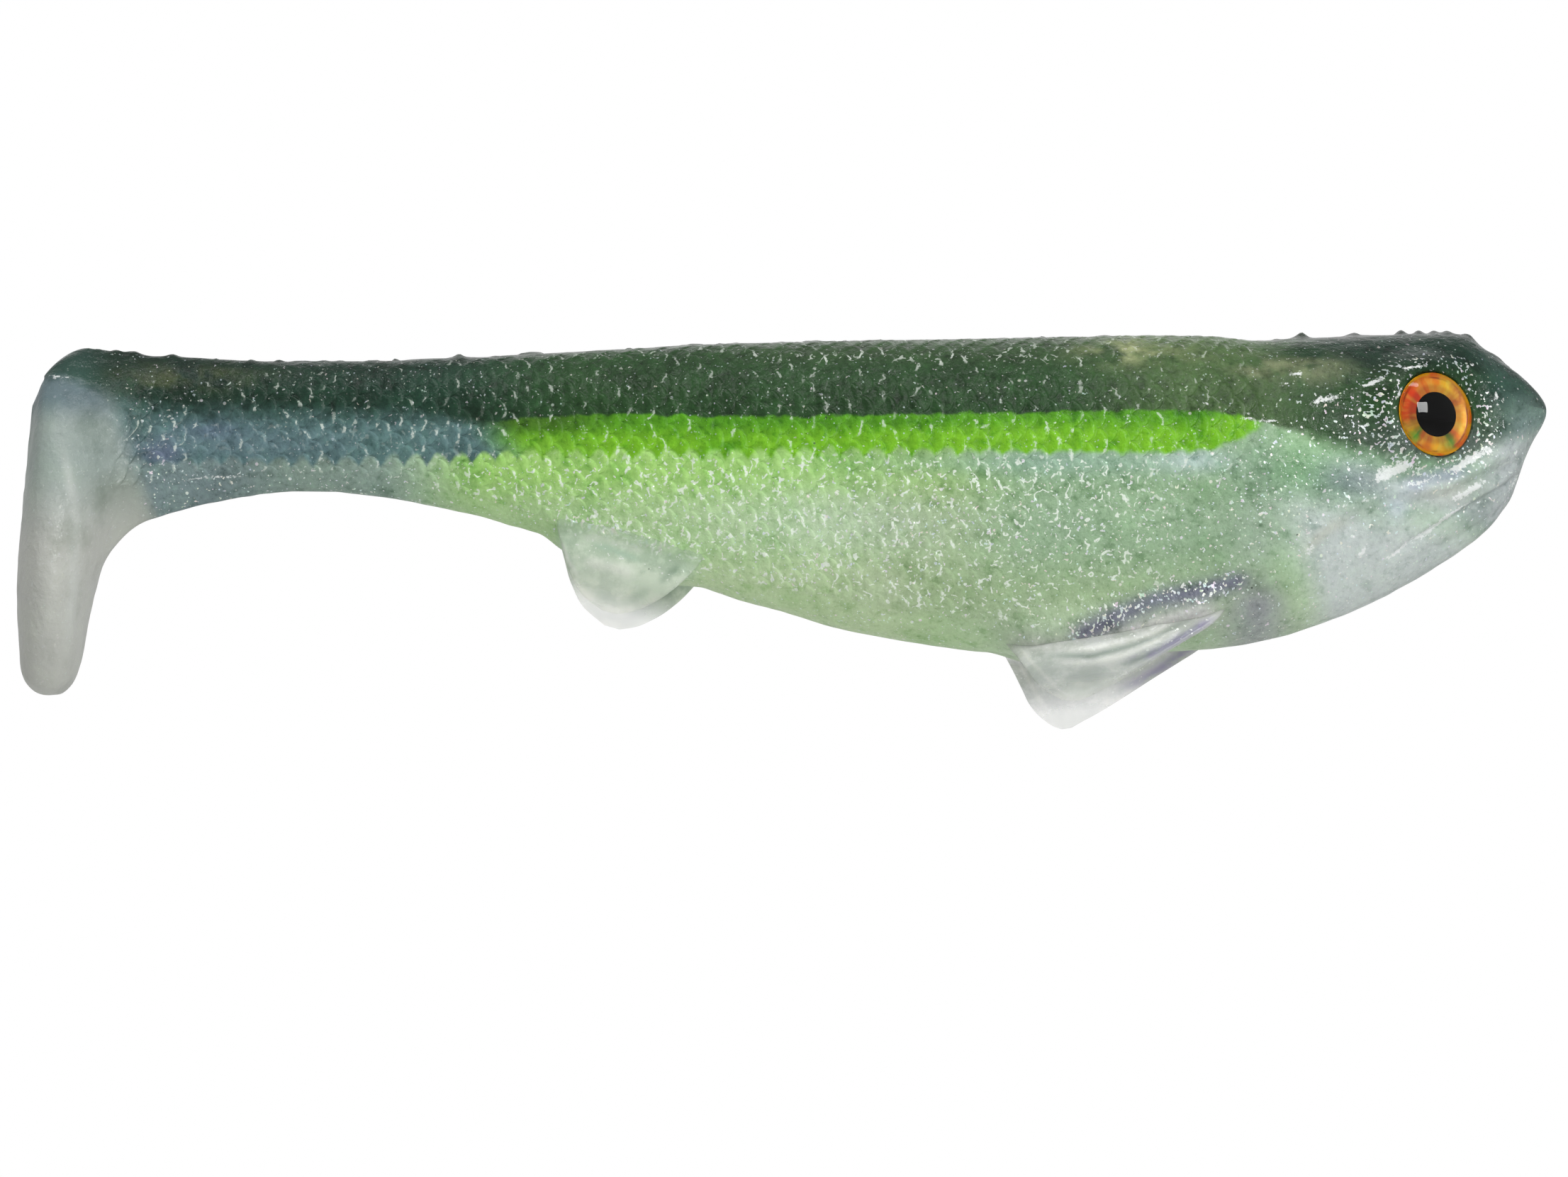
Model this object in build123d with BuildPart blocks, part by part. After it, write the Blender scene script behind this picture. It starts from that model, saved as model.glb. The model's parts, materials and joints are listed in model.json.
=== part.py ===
from build123d import *
from math import cos, radians, sin
import os

os.makedirs("parts", exist_ok=True)

# Soft-plastic paddle-tail swimbait, millimetres.
# The tip of the nose is the origin. +X points forward out of the nose, +Z is the back, -Y is the fish's right side.

# ---------------------------------------------------------------- driving dimensions
# Cross-sections of the body: place along X, top, bottom and half width.
STATIONS = [
    (0.0, 0.8, -1.5, 1.2),
    (-2.2, 3.2, -6.0, 3.2),
    (-4.6, 5.2, -9.9, 4.4),
    (-7.0, 6.5, -12.0, 5.5),
    (-11.0, 6.6, -14.6, 6.6),
    (-18.0, 6.3, -18.0, 7.9),
    (-28.0, 6.3, -20.2, 8.6),
    (-42.0, 6.2, -20.7, 8.5),
    (-55.0, 6.0, -19.4, 7.9),
    (-68.0, 5.7, -16.0, 6.6),
    (-84.0, 4.9, -10.4, 4.7),
    (-94.0, 4.5, -7.8, 3.5),
    (-104.0, 4.3, -6.8, 2.8),
    (-112.0, 4.5, -8.1, 2.4),
    (-117.0, 4.8, -9.8, 2.2),
    (-120.0, 5.1, -12.2, 2.2),
    (-122.5, 4.9, -14.5, 2.1),
    (-125.3, 3.3, -13.0, 1.4),
]
WIDEST_LEVEL = 0.4  # share of the depth, from the top, at which a section is widest

# Side view of the line between the dark back shot and the shots below it, tail to nose.
COLOUR_LINE = [(-128, 2.7), (-120.5, 2.6), (-112, 0.4), (-98, -0.6), (-84, -1.6), (-60, -1.9), (-40, -1.5),
               (-25, -2.4), (-16, -4.6), (-9.5, -6.2), (-3, -2.6), (2, -1.6)]

# Chartreuse stripe: its lower edge in side view, how far it runs and how deep it lies under the skin.
STRIPE_LOWER_EDGE = [(-82, -4.6), (-72, -5.3), (-57, -5.1), (-40, -4.5), (-25.2, -3.2)]
STRIPE_FRONT = -25.2
STRIPE_REAR = -79.0
STRIPE_DEPTH = 1.3
STRIPE_ROOT = [(-90, 2.5), (-84, 3.3), (-68, 5.2), (-55, 6.5), (-42, 7.1), (-28, 7.2), (-20, 6.8)]

# Flex lines: the body bends about an upright axis at each of these places.
REAR_FLEX_X = -84.0
STALK_FLEX_X = -101.0
WRIST_X = -116.0
REAR_FLEX_R = 4.75
STALK_FLEX_R = 3.05
WRIST_R = 2.32
FLEX_GAP = 0.3

# Paddle: level, rear face, front face and half width of each horizontal section.
PADDLE_SECTIONS = [
    (4.4, -125.4, -119.4, 2.2),
    (-2.0, -126.5, -119.2, 5.0),
    (-8.0, -126.9, -119.4, 6.8),
    (-14.0, -127.1, -120.3, 7.2),
    (-19.0, -127.1, -121.3, 6.1),
    (-22.6, -126.4, -122.2, 3.6),
    (-24.0, -125.6, -123.6, 1.3),
]

# Fins: rear and front end of the root line and the tip, all on the right side, and the outline in the fin's own plane,
# whose first number runs forward along the root and whose second runs out from it.
FIN_THICKNESS = 0.9
PECTORAL_ROOT_GAP = 1.1
PELVIC_ROOT_GAP = 1.0
PECTORAL_ROOT_REAR = (-45.0, -4.0, -18.9)
PECTORAL_ROOT_FRONT = (-28.0, -6.0, -16.0)
PECTORAL_TIP = (-39.8, -8.6, -25.5)
PECTORAL_OUTLINE = [(-0.2, PECTORAL_ROOT_GAP), (17.6, PECTORAL_ROOT_GAP), (3.2, 9.9)]
PECTORAL_TIP_RADIUS = 2.0
PELVIC_ROOT_REAR = (-82.0, -2.8, -9.6)
PELVIC_ROOT_FRONT = (-70.5, -3.8, -12.9)
PELVIC_TIP = (-77.2, -4.0, -17.4)
PELVIC_OUTLINE = [(0.3, PELVIC_ROOT_GAP), (12.2, PELVIC_ROOT_GAP), (7.4, 6.8), (4.3, 6.2)]
PELVIC_TIP_RADIUS = 1.0

# Eyes: 7 mm domed stick-on eyes in flat-bottomed sockets that face partly forward.
EYE_CENTRE = (-9.5, -6.3, -1.5)
EYE_FORWARD_ANGLE = 26.0
EYE_R = 3.5
PUPIL_R = 1.75
PUPIL_SHIFT = 0.25
SOCKET_CLEARANCE = 0.05
SOCKET_DEPTH = 1.2
PAD_THICKNESS = 0.35
FOIL_THICKNESS = 0.2
DOME_EDGE = 0.35
DOME_HEIGHT = 1.5

REACH = 30.0  # longer than the body is deep or wide, for cuts that pass right through
SIDES = {"right": 1, "left": -1}


def keep(builder, label):
    """Name a finished piece and write its STEP file."""
    builder.part.label = label
    export_step(builder.part, f"parts/{label}.step")


# ---------------------------------------------------------------- shared forms
# The whole body as one oval loft, nose to heel.
with BuildPart() as body_form:
    for x, top, bottom, half_width in STATIONS:
        widest = top - WIDEST_LEVEL * (top - bottom)
        with BuildSketch(Plane.YZ.offset(x)):
            with BuildLine():
                EllipticalCenterArc((0, widest), half_width, top - widest, 0, arc_size=180)
                EllipticalCenterArc((0, widest), half_width, widest - bottom, 180, arc_size=180)
            make_face()
    loft()

# Everything above the colour line.
with BuildPart() as back_zone:
    with BuildSketch(Plane.XZ):
        with BuildLine():
            colour_line = Spline(COLOUR_LINE)
            Polyline(colour_line @ 1, (COLOUR_LINE[-1][0], REACH), (COLOUR_LINE[0][0], REACH), colour_line @ 0)
        make_face()
    extrude(amount=REACH, both=True)

# Lens-shaped paddle, thick along its middle and thin at its rim.
with BuildPart() as paddle_form:
    for level, rear, front, half_width in PADDLE_SECTIONS:
        with BuildSketch(Plane.XY.offset(level)):
            with Locations(((rear + front) / 2, 0)):
                Ellipse((front - rear) / 2, half_width)
    loft()


def eye_plane(mirror_sign, height=0.0):
    """Plane of the eye on one side, its normal pointing out of the head, raised along that normal."""
    angle = radians(EYE_FORWARD_ANGLE)
    normal = Vector(sin(angle), -cos(angle) * mirror_sign, 0)
    centre = Vector(EYE_CENTRE[0], EYE_CENTRE[1] * mirror_sign, EYE_CENTRE[2])
    return Plane(centre + normal * height, x_dir=(0, 0, 1), z_dir=normal)


# ---------------------------------------------------------------- body segments
def segment(front_x, front_r, rear_x, rear_r, upper):
    """One colour shot of the body between two flex lines.

    The front end is hollowed round the flex line ahead of it and the rear end is a round knuckle on the one behind.
    """
    with BuildPart() as piece:
        add(body_form.part)
        with BuildSketch(Plane.XY):
            with BuildLine():
                Polyline((rear_x, -REACH), (front_x, -REACH), (front_x, REACH), (rear_x, REACH), close=True)
            make_face()
            if rear_r:
                with Locations((rear_x, 0)):
                    Circle(rear_r)
            if front_r:
                with Locations((front_x, 0)):
                    Circle(front_r + FLEX_GAP, mode=Mode.SUBTRACT)
        extrude(amount=REACH, both=True, mode=Mode.INTERSECT)
        add(back_zone.part, mode=Mode.INTERSECT if upper else Mode.SUBTRACT)
    return piece


front_back = segment(1.0, 0, REAR_FLEX_X, REAR_FLEX_R, upper=True)
front_belly = segment(1.0, 0, REAR_FLEX_X, REAR_FLEX_R, upper=False)
rear_back = segment(REAR_FLEX_X, REAR_FLEX_R, STALK_FLEX_X, STALK_FLEX_R, upper=True)
rear_belly = segment(REAR_FLEX_X, REAR_FLEX_R, STALK_FLEX_X, STALK_FLEX_R, upper=False)
stalk_back = segment(STALK_FLEX_X, STALK_FLEX_R, WRIST_X, WRIST_R, upper=True)
stalk_core = segment(STALK_FLEX_X, STALK_FLEX_R, WRIST_X, WRIST_R, upper=False)
tail_cap = segment(WRIST_X, WRIST_R, -REACH * 5, 0, upper=True)
tail_wrist = segment(WRIST_X, WRIST_R, -REACH * 5, 0, upper=False)

# Paddle and its wrist are one piece, below the colour line.
with BuildPart() as paddle:
    add(paddle_form.part)
    add(back_zone.part, mode=Mode.SUBTRACT)
    add(tail_wrist.part)

# ---------------------------------------------------------------- flank stripes
# Each stripe is the band of the front body under the colour line, down to a shallow depth below the skin.
stripes = {}
for side, sign in SIDES.items():
    with BuildPart() as stripe:
        add(front_belly.part)
        with BuildSketch(Plane.XZ):
            with BuildLine():
                lower_edge = Spline(STRIPE_LOWER_EDGE)
                Polyline(lower_edge @ 1, (STRIPE_FRONT, REACH), (STRIPE_LOWER_EDGE[0][0], REACH), lower_edge @ 0)
            make_face()
        extrude(amount=REACH, both=True, mode=Mode.INTERSECT)
        with BuildSketch(Plane.XY):
            with BuildLine():
                inner_edge = Spline([(x, -sign * y) for x, y in STRIPE_ROOT])
                outer = -sign * REACH
                Polyline(inner_edge @ 1, (STRIPE_ROOT[-1][0], outer), (STRIPE_ROOT[0][0], outer), inner_edge @ 0)
            make_face()
        extrude(amount=REACH, both=True, mode=Mode.INTERSECT)
        with BuildSketch(Plane.YZ.offset(STRIPE_REAR)):
            Rectangle(2 * REACH, 2 * REACH)
        extrude(amount=REACH * 3, mode=Mode.INTERSECT)
    stripes[side] = stripe

with BuildPart() as front_belly_body:
    add(front_belly.part)
    for stripe in stripes.values():
        add(stripe.part, mode=Mode.SUBTRACT)

# ---------------------------------------------------------------- eyes and their sockets
with BuildPart() as front_back_body:
    add(front_back.part)
    for sign in SIDES.values():
        with BuildSketch(eye_plane(sign, -SOCKET_DEPTH)):
            Circle(EYE_R + SOCKET_CLEARANCE)
        extrude(amount=REACH / 3, mode=Mode.SUBTRACT)

for side, sign in SIDES.items():
    with BuildPart() as eye_pad:
        with BuildSketch(eye_plane(sign, -SOCKET_DEPTH)):
            Circle(EYE_R)
        extrude(amount=PAD_THICKNESS)
    keep(eye_pad, f"eye_pad_{side}")

    foil_plane = eye_plane(sign, PAD_THICKNESS - SOCKET_DEPTH)
    forward = PUPIL_SHIFT * sign
    with BuildPart() as eye_foil:
        with BuildSketch(foil_plane):
            Circle(EYE_R)
            with Locations((0, forward)):
                Circle(PUPIL_R, mode=Mode.SUBTRACT)
        extrude(amount=FOIL_THICKNESS)
    keep(eye_foil, f"eye_foil_{side}")

    with BuildPart() as eye_pupil:
        with BuildSketch(foil_plane):
            with Locations((0, forward)):
                Circle(PUPIL_R)
        extrude(amount=FOIL_THICKNESS)
    keep(eye_pupil, f"eye_pupil_{side}")

    # Plano-convex dome: a short straight edge under a spherical cap.
    dome_plane = eye_plane(sign, PAD_THICKNESS + FOIL_THICKNESS - SOCKET_DEPTH)
    with BuildPart() as eye_dome:
        with BuildSketch(Plane(dome_plane.origin, x_dir=dome_plane.x_dir, z_dir=-dome_plane.y_dir)):
            with BuildLine():
                apex = (0, DOME_HEIGHT)
                rim = (EYE_R, DOME_EDGE)
                Polyline(apex, (0, 0), (EYE_R, 0), rim)
                TangentArc(apex, rim, tangent=(1, 0))
            make_face()
        revolve(axis=Axis(dome_plane.origin, dome_plane.z_dir))
    keep(eye_dome, f"eye_dome_{side}")


# ---------------------------------------------------------------- fins
def fin(root_rear, root_front, tip, outline, tip_radius, sign):
    """Thin flap in the plane through its root line and its tip."""
    rear, front, end = (Vector(x, y * sign, z) for x, y, z in (root_rear, root_front, tip))
    along = (front - rear).normalized()
    out = end - rear - along * (end - rear).dot(along)
    with BuildPart() as flap:
        with BuildSketch(Plane(rear, x_dir=along, z_dir=along.cross(out))) as face:
            with BuildLine():
                Polyline(*outline, close=True)
            make_face()
            root_end = outline[0][1]
            fillet([corner for corner in face.vertices() if corner.Y > 2 * root_end], radius=tip_radius)
        extrude(amount=FIN_THICKNESS / 2, both=True)
    return flap


for side, sign in SIDES.items():
    pectoral = fin(PECTORAL_ROOT_REAR, PECTORAL_ROOT_FRONT, PECTORAL_TIP, PECTORAL_OUTLINE, PECTORAL_TIP_RADIUS, sign)
    keep(pectoral, f"pectoral_fin_{side}")
    pelvic = fin(PELVIC_ROOT_REAR, PELVIC_ROOT_FRONT, PELVIC_TIP, PELVIC_OUTLINE, PELVIC_TIP_RADIUS, sign)
    keep(pelvic, f"pelvic_fin_{side}")
    keep(stripes[side], f"stripe_{side}")

keep(front_back_body, "front_back")
keep(front_belly_body, "front_belly")
keep(rear_back, "rear_back")
keep(rear_belly, "rear_belly")
keep(stalk_back, "stalk_back")
keep(stalk_core, "stalk_core")
keep(tail_cap, "tail_cap")
keep(paddle, "paddle")
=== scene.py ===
import json
import math

import bmesh
import bpy
import numpy as np
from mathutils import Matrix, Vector


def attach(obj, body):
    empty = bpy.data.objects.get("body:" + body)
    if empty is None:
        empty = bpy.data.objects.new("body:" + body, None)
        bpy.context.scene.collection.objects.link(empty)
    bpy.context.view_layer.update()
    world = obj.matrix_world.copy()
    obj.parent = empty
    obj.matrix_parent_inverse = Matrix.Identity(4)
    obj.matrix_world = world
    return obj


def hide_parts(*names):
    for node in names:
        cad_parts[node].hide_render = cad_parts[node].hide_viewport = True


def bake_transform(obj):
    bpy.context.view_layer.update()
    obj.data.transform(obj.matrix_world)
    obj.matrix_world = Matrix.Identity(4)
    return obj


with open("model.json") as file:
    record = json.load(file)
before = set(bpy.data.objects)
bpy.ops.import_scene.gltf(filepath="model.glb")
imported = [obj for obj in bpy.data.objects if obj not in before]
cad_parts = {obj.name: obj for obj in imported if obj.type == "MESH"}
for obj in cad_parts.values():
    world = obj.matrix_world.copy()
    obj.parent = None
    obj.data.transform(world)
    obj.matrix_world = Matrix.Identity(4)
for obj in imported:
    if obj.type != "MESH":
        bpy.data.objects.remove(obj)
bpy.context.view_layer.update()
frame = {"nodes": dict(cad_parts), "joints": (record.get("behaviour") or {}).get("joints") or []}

# Shapes are worked out in millimetres and scaled to metres when a mesh is made.
# X runs forward to the nose tip at 0, Z is up, the fish's right side is -Y.
MM = 0.001
joints = {j["name"]: j for j in frame["joints"]}
REAR_FLEX = joints["rear_flex"]["pos_m"][0] / MM
STALK_FLEX = joints["stalk_flex"]["pos_m"][0] / MM
WRIST = joints["wrist_flex"]["pos_m"][0] / MM
SPLIT_REAR = (REAR_FLEX + STALK_FLEX) / 2     # the skin is divided halfway between flex lines
SPLIT_STALK = (STALK_FLEX + WRIST) / 2

# The camera looks up at the fish's side from a little below.
CAMERA_DROP = math.radians(10)


# ---------------------------------------------------------------- small tools
def curve(points):
    """Smooth curve through (x, value) points, as a function of arrays."""
    x, y = np.array(sorted(points), float).T
    step = np.diff(x)
    rise = np.diff(y) / step
    inner = (rise[:-1] * step[1:] + rise[1:] * step[:-1]) / (step[1:] + step[:-1])
    slope = np.concatenate((rise[:1], inner, rise[-1:]))

    def value(at):
        at = np.clip(np.asarray(at, float), x[0], x[-1])
        i = np.clip(np.searchsorted(x, at) - 1, 0, len(step) - 1)
        t = (at - x[i]) / step[i]
        near = (1 + 2 * t) * (1 - t) ** 2 * y[i] + t * (1 - t) ** 2 * step[i] * slope[i]
        far = t * t * (3 - 2 * t) * y[i + 1] + t * t * (t - 1) * step[i] * slope[i + 1]
        return near + far

    return value


def nose_curve(points):
    """Curve along the body whose value grows from 0 at the nose tip the way a round end does."""
    inner = curve([(0, 0)] + [(math.sqrt(-x), v) for x, v in points])
    return lambda x: inner(np.sqrt(np.maximum(-np.asarray(x, float), 0)))


def smooth(low, high, value):
    t = np.clip((np.asarray(value, float) - low) / (high - low), 0, 1)
    return t * t * (3 - 2 * t)


def bump(value, centre, width):
    return np.exp(-((np.asarray(value, float) - centre) / width) ** 2)


def line_mark(x, h, points, width, blunt=0.25):
    """1 on a polyline, falling smoothly to 0 beside it and over the blunt share of its length at each end."""
    pts = np.array(points, float)
    seg = np.diff(pts, axis=0)
    length = np.hypot(*seg.T)
    before = np.concatenate(([0], np.cumsum(length)))[:-1]
    best = np.full(np.shape(x), 1e9)
    along = np.zeros(np.shape(x))
    for (px, ph), (dx, dh), size, start in zip(pts[:-1], seg, length, before):
        t = np.clip(((x - px) * dx + (h - ph) * dh) / size ** 2, 0, 1)
        gap = np.hypot(x - px - t * dx, h - ph - t * dh)
        nearer = gap < best
        best = np.where(nearer, gap, best)
        along = np.where(nearer, start + t * size, along)
    share = along / length.sum()
    return np.exp(-(best / width) ** 2) * smooth(0, blunt, share) * smooth(0, blunt, 1 - share)


def value_noise(p, size, seed=0):
    """Smooth noise from -1 to 1 at points p, with features of the given size."""
    q = np.asarray(p, float) / size + 100.0
    cell = np.floor(q).astype(np.int64)
    f = q - cell
    f = f * f * (3 - 2 * f)
    total = np.zeros(len(q))
    for corner in range(8):
        d = np.array([(corner >> k) & 1 for k in range(3)])
        c = cell + d
        n = (c[:, 0] * 73856093) ^ (c[:, 1] * 19349663) ^ (c[:, 2] * 83492791) ^ (seed * 2654435761)
        n = (n ^ (n >> 13)) * 1274126177 & 0x7FFFFFFF
        w = np.prod(np.where(d, f, 1 - f), axis=1)
        total += w * (n / 0x3FFFFFFF - 1)
    return total


def make_mesh(name, verts, faces, material):
    """Smooth mesh object from millimetre points and a list of faces."""
    mesh = bpy.data.meshes.new(name)
    mesh.from_pydata((np.asarray(verts) * MM).tolist(), [], [list(map(int, f)) for f in faces])
    mesh.validate()
    mesh.update()
    mesh.polygons.foreach_set("use_smooth", np.ones(len(mesh.polygons), bool))
    mesh.materials.append(material)
    obj = bpy.data.objects.new(name, mesh)
    bpy.context.scene.collection.objects.link(obj)
    return obj


def put_vector(obj, name, values):
    attribute = obj.data.attributes.new(name, "FLOAT_VECTOR", "POINT")
    attribute.data.foreach_set("vector", np.asarray(values, np.float32).ravel())


def grid_faces(rows, cols, wrap=True):
    """Quads of a grid whose columns may close on themselves."""
    r, c = np.meshgrid(np.arange(rows - 1), np.arange(cols if wrap else cols - 1), indexing="ij")
    r, c = r.ravel(), c.ravel()
    n = (c + 1) % cols
    return np.stack((r * cols + c, r * cols + n, (r + 1) * cols + n, (r + 1) * cols + c), axis=1)


# ---------------------------------------------------------------- body outline
# Side view and plan view of the body, millimetres from the nose tip.
top_of = nose_curve([
    (-0.3, 0.95), (-0.6, 1.45), (-2.1, 3.05), (-3.5, 4.15), (-4.9, 5.15), (-6, 6), (-6.9, 6.5),
    (-8.5, 6.62), (-12, 6.5), (-16, 6.35), (-20, 6.2), (-24.5, 5.95), (-28, 6.3), (-32, 6.4), (-40, 6.25),
    (-50, 6.1), (-61, 5.9), (-72, 5.6), (-80, 5.15), (-90, 4.65), (-98, 4.35), (-104, 4.3), (-110, 4.5),
    (-115, 4.75)])
bottom_of = nose_curve([
    (-0.3, -1.1), (-0.6, -1.75), (-1.1, -2.7), (-1.7, -3.9), (-2.4, -5.9), (-3.1, -7.6), (-4, -8.9),
    (-5.5, -10.5), (-7.1, -11.7), (-9.4, -13.25), (-11.8, -14.7), (-14.1, -15.9), (-18.8, -17.9),
    (-25, -19.7), (-31, -20.3), (-38, -20.6), (-45.4, -20.5), (-49.4, -20.1), (-54.1, -19.4),
    (-58.8, -18.45), (-63.5, -17.1), (-68.2, -15.7), (-72, -14.4), (-78, -12.3), (-82, -11), (-87, -9.5),
    (-91.7, -8.35), (-96.4, -7.4), (-101.1, -6.95), (-104.5, -6.9), (-108.2, -7.3), (-112.9, -8.25),
    (-115, -8.9)])
half_of = nose_curve([
    (-0.3, 1), (-0.6, 1.4), (-1.1, 1.95), (-2.1, 2.9), (-4.6, 4.3), (-7, 5.35), (-11, 6.6), (-18, 7.85),
    (-28, 8.55), (-42, 8.5), (-55, 7.9), (-68, 6.6), (-84, 4.7), (-94, 3.5), (-104, 2.8), (-110, 2.45),
    (-115, 2.2)])
WIDEST = 0.4          # share of the depth, from the top, at which a section is widest
FLARE_START = -115.0  # the skin opens out from here into the paddle

RING_POINTS = 240
HALF = RING_POINTS // 2


def respaced(y, z):
    """Half outline, from the bottom up, on evenly spaced points: their distances along it, y and z."""
    length = np.concatenate(([0], np.cumsum(np.hypot(np.diff(y), np.diff(z)))))
    at = np.linspace(0, length[-1], HALF + 1)
    return length, at, np.interp(at, length, y), np.interp(at, length, z)


def both_sides(right):
    """Ring that goes up the right side and down its mirror image."""
    return np.concatenate((right, right[-2:0:-1] * (1, -1, 1)))


def body_ring(x):
    """One cross-section, and how far each of its points lies from the widest line, along the skin."""
    top, bottom, half = top_of(x), bottom_of(x), half_of(x)
    widest = top - WIDEST * (top - bottom)
    angle = np.linspace(-math.pi / 2, math.pi / 2, RING_POINTS + 1)
    height = np.where(angle > 0, top - widest, widest - bottom)
    length, at, y, z = respaced(half * np.cos(angle), widest + height * np.sin(angle))
    arc = at - np.interp(0, angle, length)
    return both_sides(np.stack((np.full(HALF + 1, x), -y, z), axis=1)), np.concatenate((arc, arc[-2:0:-1]))


ring_x = [-0.004]
while ring_x[-1] > FLARE_START:
    around_eye = -14.2 < ring_x[-1] < -4.8
    ring_x.append(ring_x[-1] - min(0.12 if around_eye else 0.24, 0.02 + 0.14 * abs(ring_x[-1])))
ring_x[-1] = FLARE_START
ring_x = np.array(ring_x)
rings, arcs = zip(*(body_ring(x) for x in ring_x))

# ---------------------------------------------------------------- flare into the paddle
# Outline of the paddle's rim seen from behind, and how far back the rim and the rear face lie at each level.
rim_half = curve([(5.4, 0.35), (4.6, 1.2), (3.2, 2.1), (0, 4.2), (-4, 5.9), (-8, 6.8), (-13, 7.2), (-17, 6.7),
                  (-20, 5.4), (-21.4, 4.5), (-22.6, 3.5), (-23.4, 2.4), (-23.85, 1.3), (-24, 0.3)])
rim_x = curve([(5.4, -121.6), (3.2, -123.3), (0, -123.7), (-6, -123.7), (-12, -123.6), (-19, -123.8),
               (-24, -124.4)])
RIM_TOP, RIM_BOTTOM = 5.4, -24.0
FLARE_RINGS = 70
REAR_RINGS = 34


def rim_ring():
    """The rim, evenly spaced like a body ring."""
    z = RIM_BOTTOM + (RIM_TOP - RIM_BOTTOM) * (1 - np.cos(np.linspace(0, math.pi, 400))) / 2
    y = rim_half(z)
    y[0] = y[-1] = 0
    _, _, y, z = respaced(y, z)
    return both_sides(np.stack((rim_x(z), -y, z), axis=1))


def bezier(points, t):
    a, b, c, d = points
    return (1 - t) ** 3 * a + 3 * t * (1 - t) ** 2 * b + 3 * t * t * (1 - t) * c + t ** 3 * d


start_ring = rings[-1]
rim = rim_ring()
outward = (rim - rim.mean(axis=0)) * (0, 1, 1)
outward /= np.linalg.norm(outward, axis=1)[:, None]
down = np.clip(-outward[:, 2], 0, 1)
up = np.clip(outward[:, 2], 0, 1)


def shift(x, z):
    return np.stack((x, np.zeros(RING_POINTS), z), axis=1)


leave = start_ring + shift(-4.4 - 1.0 * down + 1.6 * up, -1.1 * down)
arrive = rim + shift(2.2 - 0.4 * up, 1.5 * down)
# The front edge of the paddle under the stalk, followed closely by the rings there.
front_edge = np.array([(-115, -8.9), (-117, -9.65), (-119, -11.4), (-120.1, -13.2), (-121, -16.5),
                       (-121.5, -19), (-121.9, -21.6), (-122.6, -23.2), (-123.5, -23.9), (-124.4, -24)])
edge_run = np.concatenate(([0], np.cumsum(np.hypot(*np.diff(front_edge, axis=0).T))))
edge_run /= edge_run[-1]
edge_x, edge_z = (curve(list(zip(edge_run, values))) for values in front_edge.T)
flare = []
for t in np.linspace(0, 1, FLARE_RINGS + 1)[1:]:
    ring = bezier((start_ring, leave, arrive, rim), t)
    pull = shift((edge_x(t) - ring[0, 0]) * down ** 6, (edge_z(t) - ring[0, 2]) * down ** 6)
    flare.append(ring + pull)

# Rear face: round the rim and in to an upright middle line, a little convex.
rear_line = shift(np.zeros(RING_POINTS), np.clip(rim[:, 2], -20.5, 0.5))
rear_line[:, 0] = curve([(0.5, -126.3), (-9, -127), (-17, -127.15), (-20.5, -126.9)])(rear_line[:, 2])
turn_over = rim + shift(-1.9 - 0.3 * up, -0.35 * up)
settle = rear_line + (rim - rear_line) * (0, 0.45, 0.5) + shift(0.9 * up, 0.3 * up)
rear = [bezier((rim, turn_over, settle, rear_line), t) for t in np.linspace(0, 1, REAR_RINGS + 1)[1:-1]]
rear.append(rear_line + (rim - rear_line) * (0, 0.01, 0))

# P holds every point of the skin, ring by ring; X, Y and Z stay where they are when P is lifted below.
P = np.array(list(rings) + flare + rear)
arc = np.array(list(arcs) + [arcs[-1]] * (len(P) - len(arcs)))
X, Y, Z = P[..., 0], P[..., 1], P[..., 2]
# Height as it looks from the camera, the same on both sides of the fish.
H = Z * math.cos(CAMERA_DROP) + np.abs(Y) * math.sin(CAMERA_DROP)


def mark(points, width, blunt=0.25):
    """A line on the skin through (X, H) points."""
    return line_mark(X, H, points, width, blunt)


def spot(x, h, width, height):
    """A soft round patch of the skin about one (X, H) point."""
    return bump(X, x, width) * bump(H, h, height)


def grid_normals(points):
    across = np.roll(points, -1, axis=1) - np.roll(points, 1, axis=1)
    along = np.gradient(points, axis=0)
    n = np.cross(along, across)
    n /= np.linalg.norm(n, axis=2)[..., None] + 1e-12
    # turned so that the right side faces -Y; the last rings meet at the middle line of the paddle's rear face
    n = n if n[len(n) // 2, HALF // 2, 1] < 0 else -n
    n[-2:] = (-1, 0, 0)
    return n


N = grid_normals(P)

# ---------------------------------------------------------------- zones painted and shaped along the skin
# Lower edges of the dark back, of the chartreuse stripe and of the scaled skin, as heights along X.
back_edge = curve([
    (-128, 2.6), (-122, 2.3), (-119.5, 1), (-116, -0.1), (-110, -0.3), (-102, -0.6), (-95, -0.7), (-88, -1),
    (-84.5, -0.7), (-80, -0.5), (-66.4, -0.65), (-50, -0.45), (-40, -0.3), (-30, -0.25), (-26.5, -0.55),
    (-24.3, -1.1), (-20, -2.4), (-16, -3.5), (-12, -4.3), (-8, -4.2), (-4.6, -2.8), (-2, -2), (0, -1.6)])
stripe_edge = curve([
    (-128, -3.6), (-118, -4.2), (-110, -4.1), (-100, -4.2), (-92, -4.1), (-86, -3.8), (-72, -3.75),
    (-57, -3.6), (-40, -3.3), (-32, -3.3), (-29.5, -3.2), (-28, -2.9), (-26.6, -2.3), (-25.2, -1.6),
    (-24, -1), (0, -1)])
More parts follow.
